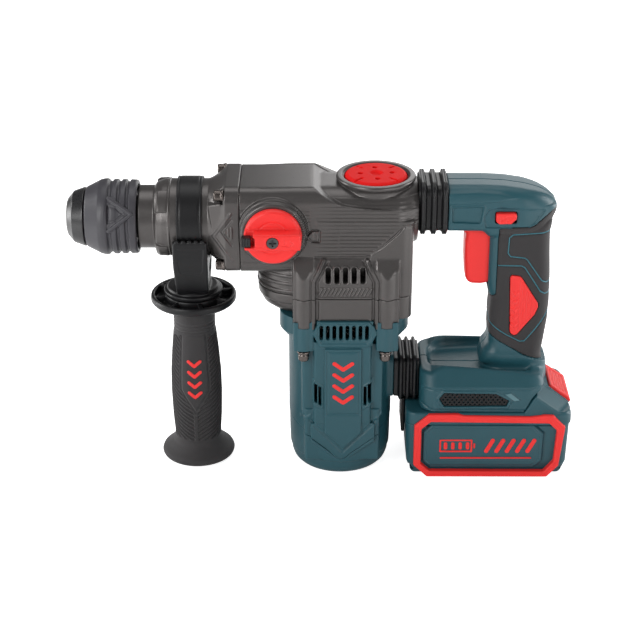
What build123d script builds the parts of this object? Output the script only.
from build123d import *
import math
import os

# Cordless L-shaped rotary hammer, millimetres, +Z up.
# Origin: on the floor plane, at the centre of the motor foot.
# +X (rear) is towards the rear handle and battery, -X (front) towards the tool bit,
# -Y is the left side and +Y the right side.
# All heights below are counted from the spindle axis.

os.makedirs("parts", exist_ok=True)

AXIS_HEIGHT = 193.0       # spindle axis above the floor plane
FLOOR_Z = -AXIS_HEIGHT
CUT = Mode.SUBTRACT
BOTH_SIDES = (-1, 1)      # left, right

# ---------------------------------------------------------------------------
# Shared dimensions
# ---------------------------------------------------------------------------
# spur gears and crank drive: the motor pinion on x = 0 drives both wheels
MODULE = 1.0
PINION_TEETH, CRANK_TEETH, INTER_TEETH = 9, 41, 51
CRANK_X = (PINION_TEETH + CRANK_TEETH) * MODULE / 2
INTER_X = -(PINION_TEETH + INTER_TEETH) * MODULE / 2
PRESSURE_ANGLE = math.radians(25)
BACKLASH = 0.26
GEAR_Z0, GEAR_Z1 = -44.0, -36.0
HUB_R = 7.0               # shaft seat of both wheels
JOURNAL_R = 4.0           # shafts in their smaller bearings
THROW = 6.5
ROD_LENGTH = 38.0
CRANK_PIN_X = CRANK_X - THROW                 # at front dead centre
CRANK_PIN_R = 4.5
WRIST_X = CRANK_PIN_X - ROD_LENGTH
WRIST_R = 2.5

# bevel gears
BEVEL_MODULE = 1.5
BEVEL_PINION_TEETH, BEVEL_RING_TEETH = 12, 32
PINION_CONE = math.atan2(BEVEL_PINION_TEETH, BEVEL_RING_TEETH)   # pitch half-angles
RING_CONE = math.pi / 2 - PINION_CONE
CONE_DISTANCE = 25.63     # apex to pitch circle
BEVEL_BACKLASH = 0.42

# spindle and hammer mechanism
SHANK_BORE_R = 5.05
BOLT_BORE_R = 8.1
CYLINDER_R = 15.0
TUBE_R = 17.5
PISTON_R = 14.94          # piston and striker
MUZZLE_X = -186.0
NOSE_BEARING_X0, NOSE_BEARING_X1 = -142, -130
NOSE_BEARING_R = 20.0
REAR_BEARING_R = 26.6
SMALL_BEARING_R = 9.5
MEDIUM_BEARING_R = 11.0
INTER_BEARING_R = 12.0
CRANK_BEARING_R = 17.5
BALL_X, BALL_Y, BALL_R = -170.0, 7.3, 3.5

# castings
CASE_X0, CASE_X1 = -32, 50        # lower gear case and bearing plate
CASE_HALF_Y = 37
CASE_CORNER_R = 9
FRONT_JOINT_X = -71               # gear case to front housing
CASE_JOINT_Z = -47                # gear case to bearing plate
PLATE_Z0 = -66                    # bearing plate to motor housing
INTER_BOSS_R = 29.5
CAP_X = 24.5                      # grease cap and the chamber below it
LUG_XS = (-26.75, 31.75)          # housing bolts
LUG_Y = 34.75
LUG_HALF_X, LUG_OUTER_Y = 7.75, 39.5
LUGS = [(x, side) for x in LUG_XS for side in BOTH_SIDES]
LUG_HOLE_R = 2.55
BOLT_SEAT_Z = -90                 # under the bolt heads
FRONT_SCREWS = [(y, z) for y in (-26, 26) for z in (-26, 26)]

# motor
CAN_R = 38.0
STATOR_R = 30.0
STATOR_TEETH = 9
STACK_Z0, STACK_Z1 = -150, -105   # stator and rotor laminations
FAN_Z0, FAN_Z1 = -96, -84
FAN_R = 32

# mode selector, centre of the knob
KNOB_X, KNOB_Z = -47.5, 1.5
KNOB_R = 20

# rear handle
ARM_HALF, GRIP_HALF, BASE_HALF = 20.0, 15.0, 36.0
WALL = 3.0
UPPER_PIN_Y, UPPER_PIN_Z = 11, 12     # two upper guide pins of the sprung handle
LOWER_PIN_Z = -115.8
TRIGGER_X, TRIGGER_Z = 82, 1.5        # trigger pivot
TERMINAL_YS = (-12, -4, 4, 12)        # battery contacts


# ---------------------------------------------------------------------------
# Helpers: sketches made here stand alone, the solids join the open BuildPart
# ---------------------------------------------------------------------------
def plane_x(x):
    """Plane across X, sketched in (y, z)."""
    return Plane(origin=(x, 0, AXIS_HEIGHT), x_dir=(0, 1, 0), z_dir=(1, 0, 0))


def plane_y(y):
    """Plane across Y, sketched in (x, z), facing -Y."""
    return Plane(origin=(0, y, AXIS_HEIGHT), x_dir=(1, 0, 0), z_dir=(0, -1, 0))


def plane_z(z):
    """Plane across Z, sketched in (x, y)."""
    return Plane(origin=(0, 0, AXIS_HEIGHT + z), x_dir=(1, 0, 0), z_dir=(0, 0, 1))


def ring(plane, u, v, radius, bore=0.0):
    with BuildSketch(plane) as face:
        with Locations((u, v)):
            Circle(radius)
            if bore:
                Circle(bore, mode=CUT)
    return face.sketch


def rectangle(plane, u, v, width, height, angle=0.0):
    with BuildSketch(plane) as face:
        with Locations((u, v)):
            Rectangle(width, height, rotation=angle)
    return face.sketch


def rounded(plane, u, v, width, height, corner):
    with BuildSketch(plane) as face:
        with Locations((u, v)):
            RectangleRounded(width, height, corner)
    return face.sketch


def polygon(plane, points):
    with BuildSketch(plane) as face:
        with BuildLine():
            Polyline(*points, close=True)
        make_face()
    return face.sketch


def disc_x(x0, x1, radius, bore=0.0, y=0.0, z=0.0, mode=Mode.ADD):
    extrude(ring(plane_x(x0), y, z, radius, bore), amount=x1 - x0, mode=mode)


def disc_y(x, z, y0, y1, radius, mode=Mode.ADD):
    extrude(ring(plane_y(y1), x, z, radius), amount=y1 - y0, mode=mode)


def disc_z(x, z0, z1, radius, bore=0.0, y=0.0, mode=Mode.ADD):
    extrude(ring(plane_z(z0), x, y, radius, bore), amount=z1 - z0, mode=mode)


def block(x0, x1, y0, y1, z0, z1, mode=Mode.ADD):
    face = rectangle(plane_z(z0), (x0 + x1) / 2, (y0 + y1) / 2, x1 - x0, y1 - y0)
    extrude(face, amount=z1 - z0, mode=mode)


def rounded_x(x0, x1, half_y, z0, z1, corner, mode=Mode.ADD):
    """Block with its edges along X rounded."""
    face = rounded(plane_x(x0), 0, (z0 + z1) / 2, 2 * half_y, z1 - z0, corner)
    extrude(face, amount=x1 - x0, mode=mode)


def rounded_z(x0, x1, half_y, z0, z1, corner):
    """Block with its edges along Z rounded."""
    face = rounded(plane_z(z0), (x0 + x1) / 2, 0, x1 - x0, 2 * half_y, corner)
    extrude(face, amount=z1 - z0)


def slab_x(points, x0, x1):
    """Outline in (y, z), extruded along X."""
    extrude(polygon(plane_x(x0), points), amount=x1 - x0)


def slab_y(points, y0, y1, mode=Mode.ADD):
    """Outline in (x, z), extruded along Y."""
    extrude(polygon(plane_y(y1), points), amount=y1 - y0, mode=mode)


def slab_z(points, z0, z1):
    """Outline in (x, y), extruded along Z."""
    extrude(polygon(plane_z(z0), points), amount=z1 - z0)


def turn_x(points, mode=Mode.ADD):
    """Profile in (x, radius), turned about the spindle axis."""
    axis = Axis((0, 0, AXIS_HEIGHT), (1, 0, 0))
    revolve(polygon(plane_y(0), points), axis=axis, mode=mode)


def turn_z(points, x=0.0, mode=Mode.ADD):
    """Profile in (radius, z), turned about the vertical axis at x."""
    face = polygon(plane_y(0), [(x + radius, z) for radius, z in points])
    revolve(face, axis=Axis((x, 0, 0), (0, 0, 1)), mode=mode)


def polar(radius, degrees):
    angle = math.radians(degrees)
    return radius * math.cos(angle), radius * math.sin(angle)


def spoke(radius, degrees, length, width, z0, height, x=0.0, skew=0.0, mode=Mode.ADD):
    """Upright bar centred at a radius from the vertical axis at x, length outwards."""
    u, v = polar(radius, degrees)
    face = rectangle(plane_z(z0), x + u, v, length, width, degrees + skew)
    extrude(face, amount=height, mode=mode)


def span(side, near, far):
    """Y range between two distances from the middle plane, on one side."""
    return sorted((side * near, side * far))


def lug_blocks(inner_y, z0, z1):
    for x, side in LUGS:
        block(x - LUG_HALF_X, x + LUG_HALF_X, *span(side, inner_y, LUG_OUTER_Y), z0, z1)


def lug_holes(z0, z1):
    for x, side in LUGS:
        disc_z(x, z0, z1, LUG_HOLE_R, y=side * LUG_Y, mode=CUT)


def bearing_profile(z0, z1, inner, outer):
    """Sealed ball bearing as one ring, with seal grooves 0.5 deep on both faces."""
    lip, groove = 0.28 * (outer - inner), 0.3 * (outer - inner)
    return [(inner, z0), (inner + lip, z0), (inner + groove, z0 + 0.5),
            (outer - groove, z0 + 0.5), (outer - lip, z0), (outer, z0),
            (outer, z1), (outer - lip, z1), (outer - groove, z1 - 0.5),
            (inner + groove, z1 - 0.5), (inner + lip, z1), (inner, z1)]


def spur_points(teeth, tip_r, root_r, phase, x=0.0):
    """Outline of an involute spur gear centred at x, one tooth centre at angle phase."""
    pitch_r = teeth * MODULE / 2
    base_r = pitch_r * math.cos(PRESSURE_ANGLE)
    half_pitch = (math.pi * MODULE / 2 - BACKLASH / 2) / 2 / pitch_r
    half_base = half_pitch + math.tan(PRESSURE_ANGLE) - PRESSURE_ANGLE

    def half_angle(radius):
        if radius <= base_r:
            return half_base
        roll = math.acos(base_r / radius)
        return half_base - (math.tan(roll) - roll)

    start = max(base_r, root_r)
    radii = [root_r] if root_r < base_r else []
    radii += [start + (tip_r - start) * k / 3 for k in range(4)]
    flanks = [(r, -1) for r in radii] + [(r, 1) for r in reversed(radii)]
    points = []
    for i in range(teeth):
        centre = phase + 2 * math.pi * i / teeth
        for radius, sign in flanks:
            angle = centre + sign * half_angle(radius)
            points.append((x + radius * math.cos(angle), radius * math.sin(angle)))
    return points


def bevel_points(teeth, distance, cone, root, tip, phase):
    """Section of bevel teeth at a distance from the apex; root and tip cones in degrees."""
    half_pitch = (math.pi * BEVEL_MODULE / 2 - BEVEL_BACKLASH) / 2
    low, high = math.radians(root - 0.6), math.radians(tip + 0.6)    # overrun, trimmed later
    points = []
    for i in range(teeth):
        centre = phase + 2 * math.pi * i / teeth
        for theta, sign in ((low, -1), (high, -1), (high, 1), (low, 1)):
            half = half_pitch - CONE_DISTANCE * (theta - cone) * math.tan(PRESSURE_ANGLE)
            angle = centre + sign * max(half, 0.05) / (CONE_DISTANCE * math.sin(theta))
            radius = distance * math.tan(theta)
            points.append((radius * math.cos(angle), radius * math.sin(angle)))
    return points


def spring_x(radius, wire_r, length, turns, x, y=0.0, z=0.0):
    """Coil spring along +X as one swept solid, starting at x."""
    with BuildPart(mode=Mode.PRIVATE) as coil:
        with BuildLine() as path:
            Helix(pitch=length / turns, height=length, radius=radius,
                  center=(x, y, AXIS_HEIGHT + z), direction=(1, 0, 0))
        with BuildSketch(path.line ^ 0):
            Circle(wire_r)
        sweep(path=path.line, is_frenet=True)
    return coil.part


def save(builder, name):
    builder.part.label = name
    export_step(builder.part, f"parts/{name}.step")


# ===========================================================================
# Castings
# ===========================================================================
SHOULDERS = [(-31, 15), (31, 15), (31, 20), (28, 23), (24, 25), (24, 28), (20, 30.5),
             (-20, 30.5), (-24, 28), (-24, 25), (-28, 23), (-31, 20)]    # (y, z)

with BuildPart() as gear_case:
    rounded_x(FRONT_JOINT_X, -12, 31, -32, 30, CASE_CORNER_R)
    block(-16, CASE_X1, -31, 31, CASE_JOINT_Z, 16)
    slab_x(SHOULDERS, -16, CASE_X1)
    rounded_z(CASE_X0, CASE_X1, CASE_HALF_Y, CASE_JOINT_Z, -19, CASE_CORNER_R)
    disc_z(INTER_X, CASE_JOINT_Z, -29, INTER_BOSS_R)
    disc_y(KNOB_X, KNOB_Z, -38, -30, 23.5)
    rounded_x(49, 54, 20, -6.5, 29.5, 6)
    disc_z(CAP_X, 20, 31, 26.5)
    lug_blocks(29, CASE_JOINT_Z, -26)
    # spindle tube and crank chamber
    disc_x(FRONT_JOINT_X, -12, REAR_BEARING_R, mode=CUT)
    disc_z(CAP_X, -17, 31.5, 22.5, mode=CUT)
    block(-12.5, CAP_X, -18, 18, -17, 17, mode=CUT)
    # crank and intermediate shafts, then the pinion
    disc_z(CRANK_X, -28, -16.5, CRANK_BEARING_R, mode=CUT)
    disc_z(CRANK_X, -34.5, -27.5, 10, mode=CUT)
    disc_z(INTER_X, CASE_JOINT_Z, -35, 27.3, mode=CUT)
    disc_z(INTER_X, -35.5, -29, INTER_BEARING_R, mode=CUT)
    disc_z(INTER_X, -29.5, -20, 10.7, mode=CUT)
    disc_z(CRANK_X, CASE_JOINT_Z, -34, 22.5, mode=CUT)
    disc_z(0, CASE_JOINT_Z, -33, 7.5, mode=CUT)
    # mode knob shaft, screws and bolts, handle guide pins
    disc_y(KNOB_X, KNOB_Z, -38.5, -26, 8.1, mode=CUT)
    for y, z in FRONT_SCREWS:
        disc_x(FRONT_JOINT_X, -54, 2.05, y=y, z=z, mode=CUT)
    lug_holes(CASE_JOINT_Z, -33)
    for side in BOTH_SIDES:
        disc_x(44, 54, 3.05, y=side * UPPER_PIN_Y, z=UPPER_PIN_Z, mode=CUT)
save(gear_case, "gear_case")

SCREW_SEAT_X = -82        # under the screw heads, start of the square flange

with BuildPart() as front_housing:
    turn_x([(-143, 0), (-143, 21.5), (-142, 22.5), (-131, 22.5), (-131, 25), (-130, 26),
            (-127, 27.3), (-92, 27.3), (-88, 28.2), (-82, 31), (-72, 31), (-72, 0)])
    rounded_x(SCREW_SEAT_X, FRONT_JOINT_X, 31.5, -31.5, 31.5, CASE_CORNER_R)
    for side in BOTH_SIDES:                # gussets below and above
        slab_y([(-95, 0), (-95, side * 26), (-82, side * 31), (-82, 0)], -5, 5)
    turn_x([(-143, 0), (-143, 17.4), (-142, 20), (-130, 20), (-130, 16), (-120, 16),
            (-118.6, 18.2), (-100, 18.2), (-96, 23), (-71, 23), (-71, 0)], mode=CUT)
    for y, z in FRONT_SCREWS:
        disc_x(-84, FRONT_JOINT_X, 2.55, y=y, z=z, mode=CUT)
        disc_x(-92, SCREW_SEAT_X, 4.6, y=y, z=z, mode=CUT)
save(front_housing, "front_housing")

with BuildPart() as front_case_screws:
    for y, z in FRONT_SCREWS:
        disc_x(-88, SCREW_SEAT_X, 4.2, y=y, z=z)
        disc_x(-88, -85.5, 2.0, y=y, z=z, mode=CUT)
        disc_x(SCREW_SEAT_X, -56, 2.0, y=y, z=z)
save(front_case_screws, "front_case_screws")

with BuildPart() as bearing_plate:
    rounded_z(CASE_X0, CASE_X1, CASE_HALF_Y, PLATE_Z0, CASE_JOINT_Z, CASE_CORNER_R)
    turn_z([(0, CASE_JOINT_Z), (INTER_BOSS_R, CASE_JOINT_Z), (INTER_BOSS_R, -52), (27, -59),
            (21, PLATE_Z0), (0, PLATE_Z0)], x=INTER_X)
    lug_blocks(29, -69.8, CASE_JOINT_Z)
    disc_z(INTER_X, -54, CASE_JOINT_Z, SMALL_BEARING_R, mode=CUT)
    disc_z(CRANK_X, -56, CASE_JOINT_Z, MEDIUM_BEARING_R, mode=CUT)
    disc_z(0, -56, CASE_JOINT_Z, 6, mode=CUT)
    disc_z(0, -66.5, -55, MEDIUM_BEARING_R, mode=CUT)
    disc_z(2, PLATE_Z0, -58.5, 33, bore=15.5, mode=CUT)      # ring groove underneath
    lug_holes(-70, CASE_JOINT_Z)
save(bearing_plate, "bearing_plate")

# joint between motor housing and end cap, dipping in the middle: (x, z)
SEAM = [(-60, -154), (-38.5, -154), (-20, -161), (0.5, -178), (22, -162), (38.5, -155),
        (60, -155)]
SEAM_GAP = 0.05
FLANGE_Z = -70

with BuildPart() as motor_housing:
    disc_z(0, -180, -82, CAN_R)
    flange = rounded(plane_z(FLANGE_Z), 2, 0, 91, 76.5, 26)
    loft([flange, ring(plane_z(-82), 0, 0, CAN_R)])
    extrude(flange, amount=PLATE_Z0 - FLANGE_Z)
    lug_blocks(24, BOLT_SEAT_Z, PLATE_Z0)
    rounded_x(30, 39, 17, -138, -105, 5)            # rear boss for the lower bellows
    turn_z([(0, -181), (35.3, -181), (35.3, -84), (36.6, -70), (36.6, -65), (0, -65)],
           mode=CUT)
    # clearance for the bearing plate lugs
    block(-34.6, -18.9, -40, 40, -69.9, -65, mode=CUT)
    block(23.9, 39.6, -40, 40, -69.9, -65, mode=CUT)
    for k in range(8):                              # ribs around the stator
        spoke(33, 22.5 + 45 * k, length=5.8, width=3, z0=-153, height=50)
    slab_y(SEAM + [(60, -220), (-60, -220)], -60, 60, mode=CUT)
    lug_holes(-91, -65)
    for k in range(8):                              # slots in both sides, above the fan
        x = -15 + 4.8 * k
        block(x - 1.2, x + 1.2, -45, 45, -81, -71, mode=CUT)
    for x in (-19, 19):                             # short slots beside the stator
        for z in (-120, -128):
            block(x - 4, x + 4, -45, 45, z - 1.5, z + 1.5, mode=CUT)
    disc_x(32, 39.5, 2.55, z=LOWER_PIN_Z, mode=CUT)
save(motor_housing, "motor_housing")

with BuildPart() as motor_end_cap:
    turn_z([(0, FLOOR_Z), (30, FLOOR_Z), (34.6, -190), (36.3, -184), (37.3, -156),
            (37.3, -150), (0, -150)])
    turn_z([(0, -189), (28.5, -189), (32.6, -184), (33.9, -168), (33.9, -150), (0, -150)],
           mode=CUT)
    slab_y([(x, z - SEAM_GAP) for x, z in SEAM] + [(60, -100), (-60, -100)], -60, 60, mode=CUT)
    # bearing collar and the seat inside it
    turn_z([(9.5, -190), (13, -190), (13, -168), (9.5, -168)])
    turn_z([(4.5, -190), (10, -190), (10, -176), (4.5, -176)])
    for k in range(3):                              # posts below the hall board
        x, y = polar(24, 90 + 120 * k)
        disc_z(x, -190, -158, 3, y=y)
save(motor_end_cap, "motor_end_cap")

with BuildPart() as housing_bolts:
    for x, side in LUGS:
        disc_z(x, -96, BOLT_SEAT_Z, 4.6, y=side * LUG_Y)
        disc_z(x, -96, -92.5, 2.2, y=side * LUG_Y, mode=CUT)
        disc_z(x, BOLT_SEAT_Z, -35, 2.5, y=side * LUG_Y)
save(housing_bolts, "housing_bolts")

# ===========================================================================
# Motor
# ===========================================================================
STACK_LENGTH = STACK_Z1 - STACK_Z0
ROTOR_R = 16
STATOR_STEP = 360 // STATOR_TEETH

with BuildPart() as stator_core:
    disc_z(0, STACK_Z0, STACK_Z1, STATOR_R, bore=26)
    for k in range(STATOR_TEETH):          # tooth neck and pole shoe
        angle = STATOR_STEP * k
        with BuildSketch(plane_z(STACK_Z0)) as tooth:
            with Locations(polar(22, angle)):
                Rectangle(10, 5, rotation=angle)
            with Locations(polar(17.9, angle)):
                Rectangle(2.4, 10, rotation=angle)
        extrude(tooth.sketch, amount=STACK_LENGTH)
    disc_z(0, STACK_Z0 - 0.5, STACK_Z1 + 0.5, ROTOR_R + 0.6, mode=CUT)
save(stator_core, "stator_core")

with BuildPart() as stator_windings:
    for k in range(STATOR_TEETH):
        angle = STATOR_STEP * k
        spoke(22.4, angle, length=5.6, width=8.6, z0=-153.5, height=52)
        spoke(22.4, angle, length=8, width=5.1, z0=-150.1, height=45.2, mode=CUT)
save(stator_windings, "stator_windings")

BOARD_TOP_Z = -156.4

with BuildPart() as hall_board:
    disc_z(0, -158, BOARD_TOP_Z, 28.5, bore=12)
    for k in range(3):
        x, y = polar(18, 30 + 120 * k)
        disc_z(x, BOARD_TOP_Z, BOARD_TOP_Z + 2, 2, y=y)
save(hall_board, "hall_board")

with BuildPart() as rotor_shaft:
    disc_z(0, -181, -46, JOURNAL_R)
    slab_z(spur_points(PINION_TEETH, tip_r=5.5, root_r=3.45, phase=0.0), -46, -34)
save(rotor_shaft, "rotor_shaft")

with BuildPart() as rotor_core:
    disc_z(0, STACK_Z0, STACK_Z1, ROTOR_R, bore=JOURNAL_R)
    for k in range(6):                     # magnet recesses in the lower face
        spoke(13, 60 * k, length=2.2, width=9, z0=STACK_Z0, height=1, mode=CUT)
save(rotor_core, "rotor_core")

with BuildPart() as cooling_fan:
    disc_z(0, FAN_Z0, FAN_Z1, 8, bore=JOURNAL_R)
    disc_z(0, FAN_Z0, FAN_Z0 + 2, FAN_R, bore=JOURNAL_R)
    for k in range(15):
        spoke(21, 24 * k, length=22, width=1.4, z0=-94.1, height=9.5, skew=18)
    disc_z(0, FAN_Z0 - 1, FAN_Z1 + 1, 40, bore=FAN_R, mode=CUT)   # trim the blade tips
save(cooling_fan, "cooling_fan")

with BuildPart() as motor_bearings:
    turn_z(bearing_profile(-64, -55.05, JOURNAL_R, MEDIUM_BEARING_R))
    turn_z(bearing_profile(-176, -169, JOURNAL_R, SMALL_BEARING_R))
save(motor_bearings, "motor_bearings")

# ===========================================================================
# Gearbox
# ===========================================================================
INTER_SHAFT_R = 6.0
CRANK_SHAFT_R = 8.5
FIT = 0.04                # radial gap in the bearing bores


def plain_ring(x0, x1, inner, outer):
    turn_x([(x0, inner), (x0, outer), (x1, outer), (x1, inner)])


with BuildPart() as gearbox_bearings:
    plain_ring(NOSE_BEARING_X0, NOSE_BEARING_X1, 15 + FIT, NOSE_BEARING_R)
    plain_ring(-19.4, -12.05, TUBE_R + FIT, REAR_BEARING_R)
    turn_z(bearing_profile(-28, -18.2, CRANK_SHAFT_R + FIT, CRANK_BEARING_R), x=CRANK_X)
    turn_z(bearing_profile(-56, -48, JOURNAL_R + FIT, MEDIUM_BEARING_R), x=CRANK_X)
    turn_z(bearing_profile(-35, -29, INTER_SHAFT_R + FIT, INTER_BEARING_R), x=INTER_X)
    turn_z(bearing_profile(-54, -47.2, JOURNAL_R + FIT, SMALL_BEARING_R), x=INTER_X)
save(gearbox_bearings, "gearbox_bearings")

with BuildPart() as spindle:
    turn_x([(MUZZLE_X, 0), (MUZZLE_X, 12.4), (MUZZLE_X + 0.6, 13), (-148, 13), (-148, 20.5),
            (-146, 20.5), (-146, 15), (-118, 15), (-118, TUBE_R), (-12.4, TUBE_R),
            (-12.4, 0)])
    turn_x([(MUZZLE_X - 1, 0), (MUZZLE_X - 1, SHANK_BORE_R), (-128, SHANK_BORE_R),
            (-128, BOLT_BORE_R), (-100, BOLT_BORE_R), (-100, CYLINDER_R),
            (-12, CYLINDER_R), (-12, 0)], mode=CUT)
    disc_x(-176, -165, 5.7, mode=CUT)                # relief ring around the locking balls
    disc_y(BALL_X, 0, -14, 14, BALL_R + 0.05, mode=CUT)
    for k in range(6):                               # radial air ports
        y, z = polar(1, 60 * k)
        port_plane = Plane(origin=(-52, 0, AXIS_HEIGHT), x_dir=(1, 0, 0), z_dir=(0, y, z))
        extrude(ring(port_plane, 0, 0, 1.2), amount=20, mode=CUT)
save(spindle, "spindle")

# the pinion is cut in one piece with the intermediate shaft
with BuildPart() as bevel_pinion:
    sections = []
    for distance in (27.5, 18.5):
        points = bevel_points(BEVEL_PINION_TEETH, distance, PINION_CONE,
                              root=17.2, tip=23.0, phase=math.pi)
        section_plane = Plane(origin=(INTER_X, 0, AXIS_HEIGHT - distance),
                              x_dir=(1, 0, 0), z_dir=(0, 0, 1))
        sections.append(polygon(section_plane, points))
    loft(sections, ruled=True)
    turn_z([(0, -18.97), (8.2, -18.97), (10.03, -23.6), (7.6, -24.5), (7.6, -28.8),
            (0, -28.8)], x=INTER_X, mode=Mode.INTERSECT)
    turn_z([(0, -28.8), (7.4, -28.8), (7.4, -24), (5.85, -19.2), (0, -19.2)], x=INTER_X)
    disc_z(INTER_X, -54, -45, JOURNAL_R)
    disc_z(INTER_X, -45, -35.5, HUB_R)
    disc_z(INTER_X, -35.5, -28.8, INTER_SHAFT_R)
save(bevel_pinion, "bevel_pinion")

with BuildPart() as spindle_bevel_gear:
    sections = []
    for distance in (6.0, 11.0):
        points = bevel_points(BEVEL_RING_TEETH, distance, RING_CONE, root=66.1, tip=71.9,
                              phase=-math.pi / 2 + math.pi / BEVEL_RING_TEETH)
        sections.append(polygon(plane_x(INTER_X - distance), points))
    loft(sections, ruled=True)
    turn_x([(INTER_X - 6.3, 0), (INTER_X - 6.3, 19.67), (INTER_X - 7.97, 24.39),
            (INTER_X - 10.4, 23.47), (INTER_X - 10.4, 0)], mode=Mode.INTERSECT)
    turn_x([(INTER_X - 8.65, TUBE_R), (INTER_X - 8.65, 19.0), (INTER_X - 10.2, 22.6),
            (INTER_X - 10.4, 23.47), (INTER_X - 15, 23.5), (INTER_X - 15, TUBE_R)])
    disc_x(INTER_X - 16, INTER_X, TUBE_R, mode=CUT)
save(spindle_bevel_gear, "spindle_bevel_gear")

with BuildPart() as crank_shaft:
    disc_z(CRANK_X, -56, -44.5, JOURNAL_R)
    disc_z(CRANK_X, -44.5, -34.5, HUB_R)
    disc_z(CRANK_X, -34.5, -16, CRANK_SHAFT_R)
    disc_z(CRANK_X, -16, -8, 13)
    disc_z(CRANK_PIN_X, -8, 7, CRANK_PIN_R)
save(crank_shaft, "crank_shaft")


def wheel(name, x, teeth, phase):
    """Spur wheel with a recessed web on its lower face."""
    pitch_r = teeth * MODULE / 2
    with BuildPart() as gear:
        outline = spur_points(teeth, pitch_r + 0.8, pitch_r - 1.25, phase, x)
        slab_z(outline, GEAR_Z0, GEAR_Z1)
        disc_z(x, GEAR_Z0, GEAR_Z0 + 2, pitch_r - 3.5, bore=10, mode=CUT)
        disc_z(x, GEAR_Z0 - 1, GEAR_Z1 + 1, HUB_R, mode=CUT)
    save(gear, name)


wheel("crank_gear", CRANK_X, CRANK_TEETH, phase=math.pi + math.pi / CRANK_TEETH)
wheel("intermediate_gear", INTER_X, INTER_TEETH, phase=0.0)

with BuildPart() as connecting_rod:
    disc_z(CRANK_PIN_X, -4, 4, 8.6)
    disc_z(WRIST_X, -4, 4, 5.5)
    block(WRIST_X, CRANK_PIN_X, -4.2, 4.2, -3.2, 3.2)
    disc_z(CRANK_PIN_X, -5, 5, CRANK_PIN_R + 0.06, mode=CUT)
    disc_z(WRIST_X, -5, 5, WRIST_R, mode=CUT)
save(connecting_rod, "connecting_rod")

with BuildPart() as wrist_pin:
    disc_z(WRIST_X, -6.8, 6.8, WRIST_R)
save(wrist_pin, "wrist_pin")

with BuildPart() as piston:
    turn_x([(-46, 0), (-46, 14.2), (-45.2, PISTON_R), (-43.8, PISTON_R), (-43.8, 13.9),
            (-41.8, 13.9), (-41.8, PISTON_R), (-8, PISTON_R), (-8, 12.8), (-40, 12.8),
            (-40, 0)])
save(piston, "piston")

with BuildPart() as striker:
    turn_x([(-87.7, 0), (-87.7, 7), (-86.7, 8), (-78, 8), (-78, 14.3), (-77.4, PISTON_R),
            (-60.8, PISTON_R), (-60.8, 13.7), (-58.4, 13.7), (-58.4, PISTON_R),
            (-56, PISTON_R), (-56, 0)])
save(striker, "striker")

with BuildPart() as impact_bolt:
    turn_x([(-118, 0), (-118, 6.4), (-116.4, 8), (-111.4, 8), (-111.4, 7), (-109.2, 7),
            (-109.2, 8), (-97, 8), (-96, 7), (-96, 0)])
save(impact_bolt, "impact_bolt")

CAP_R = 22.3

with BuildPart() as grease_cap:
    disc_z(CAP_X, 25, 31.4, CAP_R)
    turn_z([(0, 31), (21.8, 31), (21.3, 32.4), (20, 33), (13, 33), (11.5, 32.2), (0, 32.2)],
           x=CAP_X)
    disc_z(CAP_X, 24, 29, 19.5, mode=CUT)
    with BuildSketch(plane_z(29.5)) as pin_holes:
        with Locations((CAP_X, 0)):
            with PolarLocations(15.8, 4, start_angle=45):
                Circle(1.7)
    extrude(pin_holes.sketch, amount=5, mode=CUT)
save(grease_cap, "grease_cap")

with BuildPart() as grease_cap_seal:
    disc_z(CAP_X, 23.4, 24.9, CAP_R, bore=19.6)
save(grease_cap_seal, "grease_cap_seal")

# ===========================================================================
# Quick-change tool holder
# ===========================================================================
with BuildPart() as nose_cap:
    turn_x([(-194.5, 5.6), (-194.5, 12), (-193.6, 14.5), (-192, 16.2), (-190, 17.6),
            (-187.5, 19.2), (-184, 20.6), (-181.2, 21.2), (-181.2, 13.02),
            (MUZZLE_X - 0.02, 13.02), (MUZZLE_X - 0.02, 5.6)])
save(nose_cap, "nose_cap")

with BuildPart() as chuck_sleeve:
    turn_x([(-180.6, 13.4), (-180.6, 21.4), (-175, 24.4), (-170, 26.6), (-166.5, 27.3),
            (-164, 26.6), (-163, 25.4), (-161.6, 25.4), (-160.6, 26.7), (-157.4, 26.7),
            (-156.4, 25.4), (-155.2, 25.4), (-154.2, 26.6), (-151.4, 26.6), (-150.4, 25.3),
            (-149.4, 25.3), (-148.6, 26.2), (-144.4, 26.2), (-143.5, 25.6), (-143.5, 23.2),
            (-164, 23.2), (-164, 13.4)])
save(chuck_sleeve, "chuck_sleeve")

with BuildPart() as chuck_spring:
    add(spring_x(radius=17.6, wire_r=0.8, length=13.6, turns=5, x=-162.8))
save(chuck_spring, "chuck_spring")

for name, side in (("locking_ball_a", 1), ("locking_ball_b", -1)):
    with BuildPart() as locking_ball:
        with Locations((BALL_X, side * BALL_Y, AXIS_HEIGHT)):
            Sphere(BALL_R)
    save(locking_ball, name)

# ===========================================================================
# Mode selector, on the left side
# ===========================================================================
def knob_box(x0, x1, half_z, y0, y1, mode=Mode.ADD):
    """Box with X measured from the knob centre."""
    x0, x1 = KNOB_X + x0, KNOB_X + x1
    z0, z1 = KNOB_Z - half_z, KNOB_Z + half_z
    slab_y([(x0, z0), (x1, z0), (x1, z1), (x0, z1)], y0, y1, mode=mode)


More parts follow.
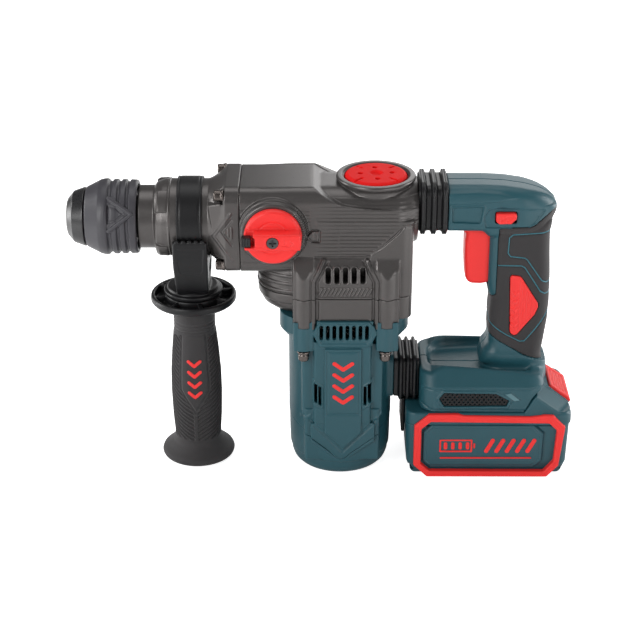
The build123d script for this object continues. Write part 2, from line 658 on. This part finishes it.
with BuildPart() as mode_knob:
    disc_y(KNOB_X, KNOB_Z, -44, -38.1, KNOB_R)
    knob_box(-19, 19, 5.5, -52.5, -43)                       # finger bar
    disc_y(KNOB_X, KNOB_Z, -60, -36, KNOB_R, mode=Mode.INTERSECT)
    disc_y(KNOB_X, KNOB_Z, -38.2, -28, 8)
    disc_y(KNOB_X + 3.5, KNOB_Z, -28.2, -26.8, 2.5)          # eccentric pin
    knob_box(-21, -12.2, 3.6, -54, -45.5, mode=CUT)          # lock button slot
    disc_y(KNOB_X, KNOB_Z, -53, -50.5, 4.1, mode=CUT)
    disc_y(KNOB_X, KNOB_Z, -51, -34, 1.9, mode=CUT)
save(mode_knob, "mode_knob")

with BuildPart() as mode_knob_screw:
    disc_y(KNOB_X, KNOB_Z, -52.6, -50.5, 3.9)
    disc_y(KNOB_X, KNOB_Z, -50.6, -36, 1.85)
    knob_box(-2.6, 2.6, 0.5, -53, -51.6, mode=CUT)           # cross slot
    knob_box(-0.5, 0.5, 2.6, -53, -51.6, mode=CUT)
save(mode_knob_screw, "mode_knob_screw")

with BuildPart() as mode_lock_button:
    knob_box(-21.5, -15, 3.4, -52.6, -45.7)
save(mode_lock_button, "mode_lock_button")

# ===========================================================================
# Side handle, hanging below the front housing
# ===========================================================================
SIDE_X = -107.0
BRACKET = [(-32, -7), (32, -7), (32, -22), (20, -53), (-20, -53), (-32, -22)]    # (y, z)

with BuildPart() as side_handle_band:
    disc_x(-115.5, -97.5, 28.9, bore=27.6)
save(side_handle_band, "side_handle_band")

with BuildPart() as side_handle_bracket:
    slab_x(BRACKET, SIDE_X - 12, SIDE_X + 12)
    disc_x(SIDE_X - 13, SIDE_X + 13, 29.1, mode=CUT)
    block(SIDE_X - 13, SIDE_X + 13, -12, 12, -46, -20, mode=CUT)
    disc_z(SIDE_X, -58.5, -53, 21)
    disc_z(SIDE_X, -60, -40, 4.1, mode=CUT)
save(side_handle_bracket, "side_handle_bracket")

with BuildPart() as side_handle_bolt:
    disc_z(SIDE_X, -46, -41, 8)
    disc_z(SIDE_X, -100, -45.9, 4)
    block(SIDE_X - 3, SIDE_X + 3, -11, 11, -41, -30.5)
save(side_handle_bolt, "side_handle_bolt")

with BuildPart() as side_handle_guard:
    disc_z(SIDE_X, -66, -58.8, 31)
    disc_z(SIDE_X, -64.5, -58, 28.5, bore=17, mode=CUT)
    for k in range(8):
        spoke(22.8, 45 * k, length=12, width=2, z0=-64.6, height=5, x=SIDE_X)
    disc_z(SIDE_X, -67, -57, 4.5, mode=CUT)
save(side_handle_guard, "side_handle_guard")

with BuildPart() as side_handle_grip:
    turn_z([(0, -66), (15.4, -66), (15.4, -88), (15.9, -90), (17, -100), (18.4, -120),
            (18.7, -140), (18.4, -160), (17.2, -175), (18, -179), (27, -187.5),
            (27.3, -189), (26.8, -191.5), (24, -192.5), (0, -192.5)], x=SIDE_X)
    disc_z(SIDE_X, -101, -65, 4.3, mode=CUT)
    turn_z([(0, -193), (12, -193), (12, -130), (10, -110), (0, -110)], x=SIDE_X, mode=CUT)
    disc_z(SIDE_X, -187, -183, 14)                 # plug of the hollow
save(side_handle_grip, "side_handle_grip")

# ===========================================================================
# Rear handle
# ===========================================================================
# outer and hollow outlines of arm, grip and base, (x, z)
ARM = [(75, -4.5), (75, 28.5), (100, 28.3), (115, 27), (128, 24.5), (138, 21), (146, 17),
       (151.5, 13), (153.5, 10.5), (152.5, 6), (150, 1), (148.5, -6), (104, -6), (100, -4.5)]
ARM_HOLLOW = [(78, -1.5), (78, 25.5), (100, 25.3), (114.5, 24), (127, 21.6), (136.8, 18.3),
              (144.4, 14.4), (149.4, 10.6), (147.2, 2), (145.5, -8), (111.5, -8), (108, -3),
              (100, -1.5)]
GRIP = [(108.5, -3), (148.5, -3), (148.5, -110), (101, -110), (104.5, -103.5), (108.5, -98)]
GRIP_HOLLOW = [(111.5, -6), (145.5, -6), (145.5, -112), (104.5, -112), (107.5, -105),
               (111.5, -97)]
BASE = [(55.5, -112), (60, -107.6), (101, -106.5), (106, -103), (148, -104), (148, -118),
        (143, -122), (130, -139.5), (55.5, -139.5)]
BASE_HOLLOW = [(58.5, -113), (61.5, -110.6), (102, -109.5), (107, -106), (145, -106),
               (145, -116), (141, -119), (139, -121), (58.5, -121)]
GRILLE_SEAT = [(72.8, -131), (76.4, -125.8), (112.1, -127.3), (119.3, -132), (116.1, -136.2),
               (76.9, -136.2)]
BUTTON_WINDOW = [(108.6, 2.3), (125.2, 2.3), (125.2, 11.8), (108.6, 11.8)]

# (x, z, half width of the shell there)
GRIP_SCREW = (129, -60, GRIP_HALF)
HANDLE_SCREWS = [(93, 20, ARM_HALF), (141, 12, ARM_HALF), GRIP_SCREW,
                 (114, -104, GRIP_HALF), (68, -119.8, BASE_HALF), (135, -119.8, BASE_HALF)]

# battery rail: half width of the neck and of the wider head above it
RAIL_NECK, RAIL_HEAD = 22, 25.6


def handle_half(side):
    """One moulded half of the rear handle."""
    halves = (ARM_HALF, GRIP_HALF, BASE_HALF)
    for outline, half in zip((ARM, GRIP, BASE), halves):
        slab_y(outline, *span(side, 0, half))
    for outline, half in zip((ARM_HOLLOW, GRIP_HOLLOW, BASE_HOLLOW), halves):
        slab_y(outline, *span(side, 0, half - WALL), mode=CUT)
    # battery rail channel
    block(60, 152, *span(side, 0, RAIL_NECK + 1), -141, -134.4, mode=CUT)
    block(60, 152, *span(side, 0, RAIL_HEAD + 1), -134.5, -123.4, mode=CUT)
    # trigger mouth
    block(96, 122, *span(side, 0, 11.6), -56, -5, mode=CUT)
    block(78, 112, *span(side, 0, 11.6), -9, -0.5, mode=CUT)
    # guide pin holes
    disc_x(74, 80, 3.15, y=side * UPPER_PIN_Y, z=UPPER_PIN_Z, mode=CUT)
    disc_x(54, 60, 2.65, z=LOWER_PIN_Z, mode=CUT)
    slab_y(GRILLE_SEAT, *span(side, 34.9, 37), mode=CUT)
    slab_y(BUTTON_WINDOW, *span(side, 0, 25), mode=CUT)
    # trigger pivot boss and hole
    disc_y(TRIGGER_X, TRIGGER_Z, *span(side, 11.7, 17.5), 4)
    disc_y(TRIGGER_X, TRIGGER_Z, *span(side, 5, 15), 1.6, mode=CUT)
    # screw bosses, head pockets on the right half only
    for x, z, half in HANDLE_SCREWS:
        disc_y(x, z, *span(side, 0, half - 1), 3.4)
        hole = (-half + 6, 5) if side < 0 else (-5, half - 4)
        disc_y(x, z, *hole, 1.55, mode=CUT)
        if side > 0:
            disc_y(x, z, half - 4, half + 6, 3.05, mode=CUT)


for name, side in (("handle_shell_left", -1), ("handle_shell_right", 1)):
    with BuildPart() as handle_shell:
        handle_half(side)
    save(handle_shell, name)

with BuildPart() as handle_screws:
    for x, z, half in HANDLE_SCREWS:
        disc_y(x, z, -half + 7, half - 4, 1.5)
        disc_y(x, z, half - 4, half - 1.5, 3)
        disc_y(x, z, half - 2.7, half, 1.2, mode=CUT)
save(handle_screws, "handle_screws")


def grip_screw_hole():
    """Access to the screw in the grip, from the right side."""
    disc_y(*GRIP_SCREW[:2], 12, 20, 3.2, mode=CUT)


with BuildPart() as rear_grip_cover:
    slab_y([(113, -6.2), (148.6, -6.2), (151.5, -12), (151.5, -96), (149, -104),
            (143, -103.8), (125, -99), (108.8, -92), (108.8, -58), (113, -57)], -17, 17)
    slab_y([(100, 0), (148.6, 0), (148.6, -120), (100, -120)], -15.05, 15.05, mode=CUT)
    for side in BOTH_SIDES:                 # badge recesses
        slab_y([(122, -58), (130, -59), (143, -79), (129, -97.5), (124, -96)],
               *span(side, 16.2, 18), mode=CUT)
    grip_screw_hole()
save(rear_grip_cover, "rear_grip_cover")

with BuildPart() as grip_badges:
    for side in BOTH_SIDES:
        slab_y([(122.3, -58.6), (129.8, -59.5), (142.6, -79), (129, -96.9), (124.2, -95.6)],
               *span(side, 16.2, 17.2))
    grip_screw_hole()
save(grip_badges, "grip_badges")

with BuildPart() as trigger:
    slab_y([(80, -4.9), (80, -1), (106, -1), (108, -6), (114, -10), (114, -44), (105, -49),
            (94.5, -49), (90.8, -46.5), (89.3, -42), (88.6, -16), (88.4, -9), (86, -4.9)],
           -10.4, 10.4)
    disc_y(TRIGGER_X, TRIGGER_Z, -10.4, 10.4, 3.6)
    disc_y(TRIGGER_X, TRIGGER_Z, -14.8, 14.8, 1.5)     # moulded stub axles
    slab_y([(99, -12), (112, -14), (112, -42), (99, -42)], -7.5, 7.5, mode=CUT)
save(trigger, "trigger")

with BuildPart() as trigger_switch:
    block(123, 143, -10.5, 10.5, -56, -10)
    block(126, 129, -10, 10, -57.5, -55.9)
    disc_y(*GRIP_SCREW[:2], -11, 11, 4, mode=CUT)      # clears the screw boss
save(trigger_switch, "trigger_switch")

with BuildPart() as direction_button:
    slab_y([(109, 2.8), (121, 2.8), (124.7, 5.4), (124.7, 11.3), (109, 11.3)], -22, 22)
    slab_y([(113, 2), (120, 2), (120, 12.5), (113, 12.5)], -14, 14)
save(direction_button, "direction_button")

with BuildPart() as control_board:
    block(73, 112, -27, 27, -120.9, -119.2)
    block(80, 98, -14, 14, -119.2, -117.4)
    block(60.05, 66, -20, 20, -134, -123.5)            # terminal block with its blades
    for y in TERMINAL_YS:
        block(66, 82, y - 0.5, y + 0.5, -133, -126)
save(control_board, "control_board")

with BuildPart() as base_vent_grilles:
    for side in BOTH_SIDES:
        slab_y([(73, -131), (76.5, -126), (112, -127.5), (119, -132), (116, -136),
                (77, -136)], *span(side, 35, 36.6))
save(base_vent_grilles, "base_vent_grilles")

# ---- bellows, guide pins and damper springs between body and handle -------
# (x0, x1, half width) of each fold
UPPER_FOLDS = [(54.3, 56, 20), (56, 59, 22), (59, 62.6, 19), (62.6, 65.6, 22),
               (65.6, 69, 19), (69, 72, 22), (72, 74.7, 20)]
# (x0, x1, inset from the widest fold)
LOWER_FOLDS = [(39.2, 41, 1.5), (41, 44, 0), (44, 46.4, 2.5), (46.4, 49.4, 0),
               (49.4, 51.6, 2.5), (51.6, 54, 0), (54, 55.3, 1.5)]

with BuildPart() as upper_bellows:
    for x0, x1, half in UPPER_FOLDS:
        half_z = half * 0.82
        rounded_x(x0, x1, half, UPPER_PIN_Z - half_z, UPPER_PIN_Z + half_z, 6)
    rounded_x(54, 75, 16.5, -0.5, 24.5, 5, mode=CUT)
save(upper_bellows, "upper_bellows")

with BuildPart() as lower_bellows:
    for x0, x1, inset in LOWER_FOLDS:
        rounded_x(x0, x1, 19 - inset, -139 + inset, -104.5 - inset, 5)
    rounded_x(39, 56, 13, -133, -110.5, 4, mode=CUT)
save(lower_bellows, "lower_bellows")

with BuildPart() as guide_pins:
    for side in BOTH_SIDES:
        disc_x(44.2, 84, 3, y=side * UPPER_PIN_Y, z=UPPER_PIN_Z)
    disc_x(36.5, 59.2, 2.5, z=LOWER_PIN_Z)
save(guide_pins, "guide_pins")

with BuildPart() as damper_springs:
    for side in BOTH_SIDES:
        add(spring_x(radius=4.2, wire_r=0.6, length=19.4, turns=6,
                     x=54.8, y=side * UPPER_PIN_Y, z=UPPER_PIN_Z))
    add(spring_x(radius=3.8, wire_r=0.6, length=14.4, turns=5, x=40, z=LOWER_PIN_Z))
save(damper_springs, "damper_springs")

# ===========================================================================
# Battery pack
# ===========================================================================
PACK_X0, PACK_X1 = 48, 167.5
PACK_HALF = 37
PACK_TOP_Z = -140
INSIDE = (PACK_X0 + WALL, PACK_X1 - WALL, -PACK_HALF + WALL, PACK_HALF - WALL)
CELL_R, CELL_PITCH = 10.8, 22.4

# rear hump in the middle, and its lower flanks, (x, z)
HUMP = [(131.4, -140), (144.2, -122.6), (147.2, -121.9), (149.6, -124.4), (153.4, -127.6),
        (167.5, -137.8), (167.5, -140)]
HUMP_SIDE = [(131.4, -140), (138.6, -130.2), (142.4, -127.2), (156, -137.6), (160, -140)]

with BuildPart() as battery_upper_case:
    block(PACK_X0, PACK_X1, -PACK_HALF, PACK_HALF, -150, PACK_TOP_Z)
    block(66.5, 140, -RAIL_NECK, RAIL_NECK, PACK_TOP_Z, -133.9)
    block(66.5, 131, -RAIL_HEAD, RAIL_HEAD, -133.9, -124.2)
    slab_y([(120, -134), (131, -124.2), (133, -134)], -22, 22)
    slab_y(HUMP, -19.5, 19.5)
    slab_y(HUMP_SIDE, -35.5, 35.5)
    block(*INSIDE, -151, -143, mode=CUT)
    for y in TERMINAL_YS:
        block(66, 88, y - 1.2, y + 1.2, -134, -124, mode=CUT)
    slab_y([(153.2, -132.6), (153.2, -120), (172, -120), (172, -147), (168.4, -143.2)],
           -18.3, 18.3, mode=CUT)                      # latch pocket
save(battery_upper_case, "battery_upper_case")

with BuildPart() as battery_lower_case:
    block(PACK_X0, PACK_X1, -PACK_HALF, PACK_HALF, FLOOR_Z, -150.05)
    block(*INSIDE, FLOOR_Z + WALL, -150, mode=CUT)
    for side in BOTH_SIDES:                            # raised panel on each side
        slab_y([(60, -156), (68, -152), (141.5, -152), (149.5, -158), (149.5, -182),
                (141.5, -190), (68, -190), (60, -182)], *span(side, 36.9, 37.8))
save(battery_lower_case, "battery_lower_case")

with BuildPart() as battery_bumpers:
    for side in BOTH_SIDES:
        slab_y([(58, -144), (66, -140.6), (152, -141.5), (162, -151), (158.5, -183),
                (150, -192.8), (66, -192.8), (56, -184), (55.5, -150)],
               *span(side, PACK_HALF, 38.6))
        slab_y([(59.9, -155.9), (67.9, -147), (141.6, -147), (149.6, -157.9),
                (149.6, -182.1), (141.6, -190.1), (67.9, -190.1), (59.9, -182.1)],
               *span(side, 36, 39), mode=CUT)
save(battery_bumpers, "battery_bumpers")

with BuildPart() as battery_cells:
    for i in range(5):
        for y in (-17, 17):
            disc_y(62 + CELL_PITCH * i, -170, y - 16.2, y + 16.2, CELL_R)
save(battery_cells, "battery_cells")

with BuildPart() as battery_latch:
    slab_y([(153.5, -131), (153.5, -127.6), (155.4, -127), (169.3, -137), (169.8, -140),
            (168.2, -141.2)], -18, 18)
save(battery_latch, "battery_latch")
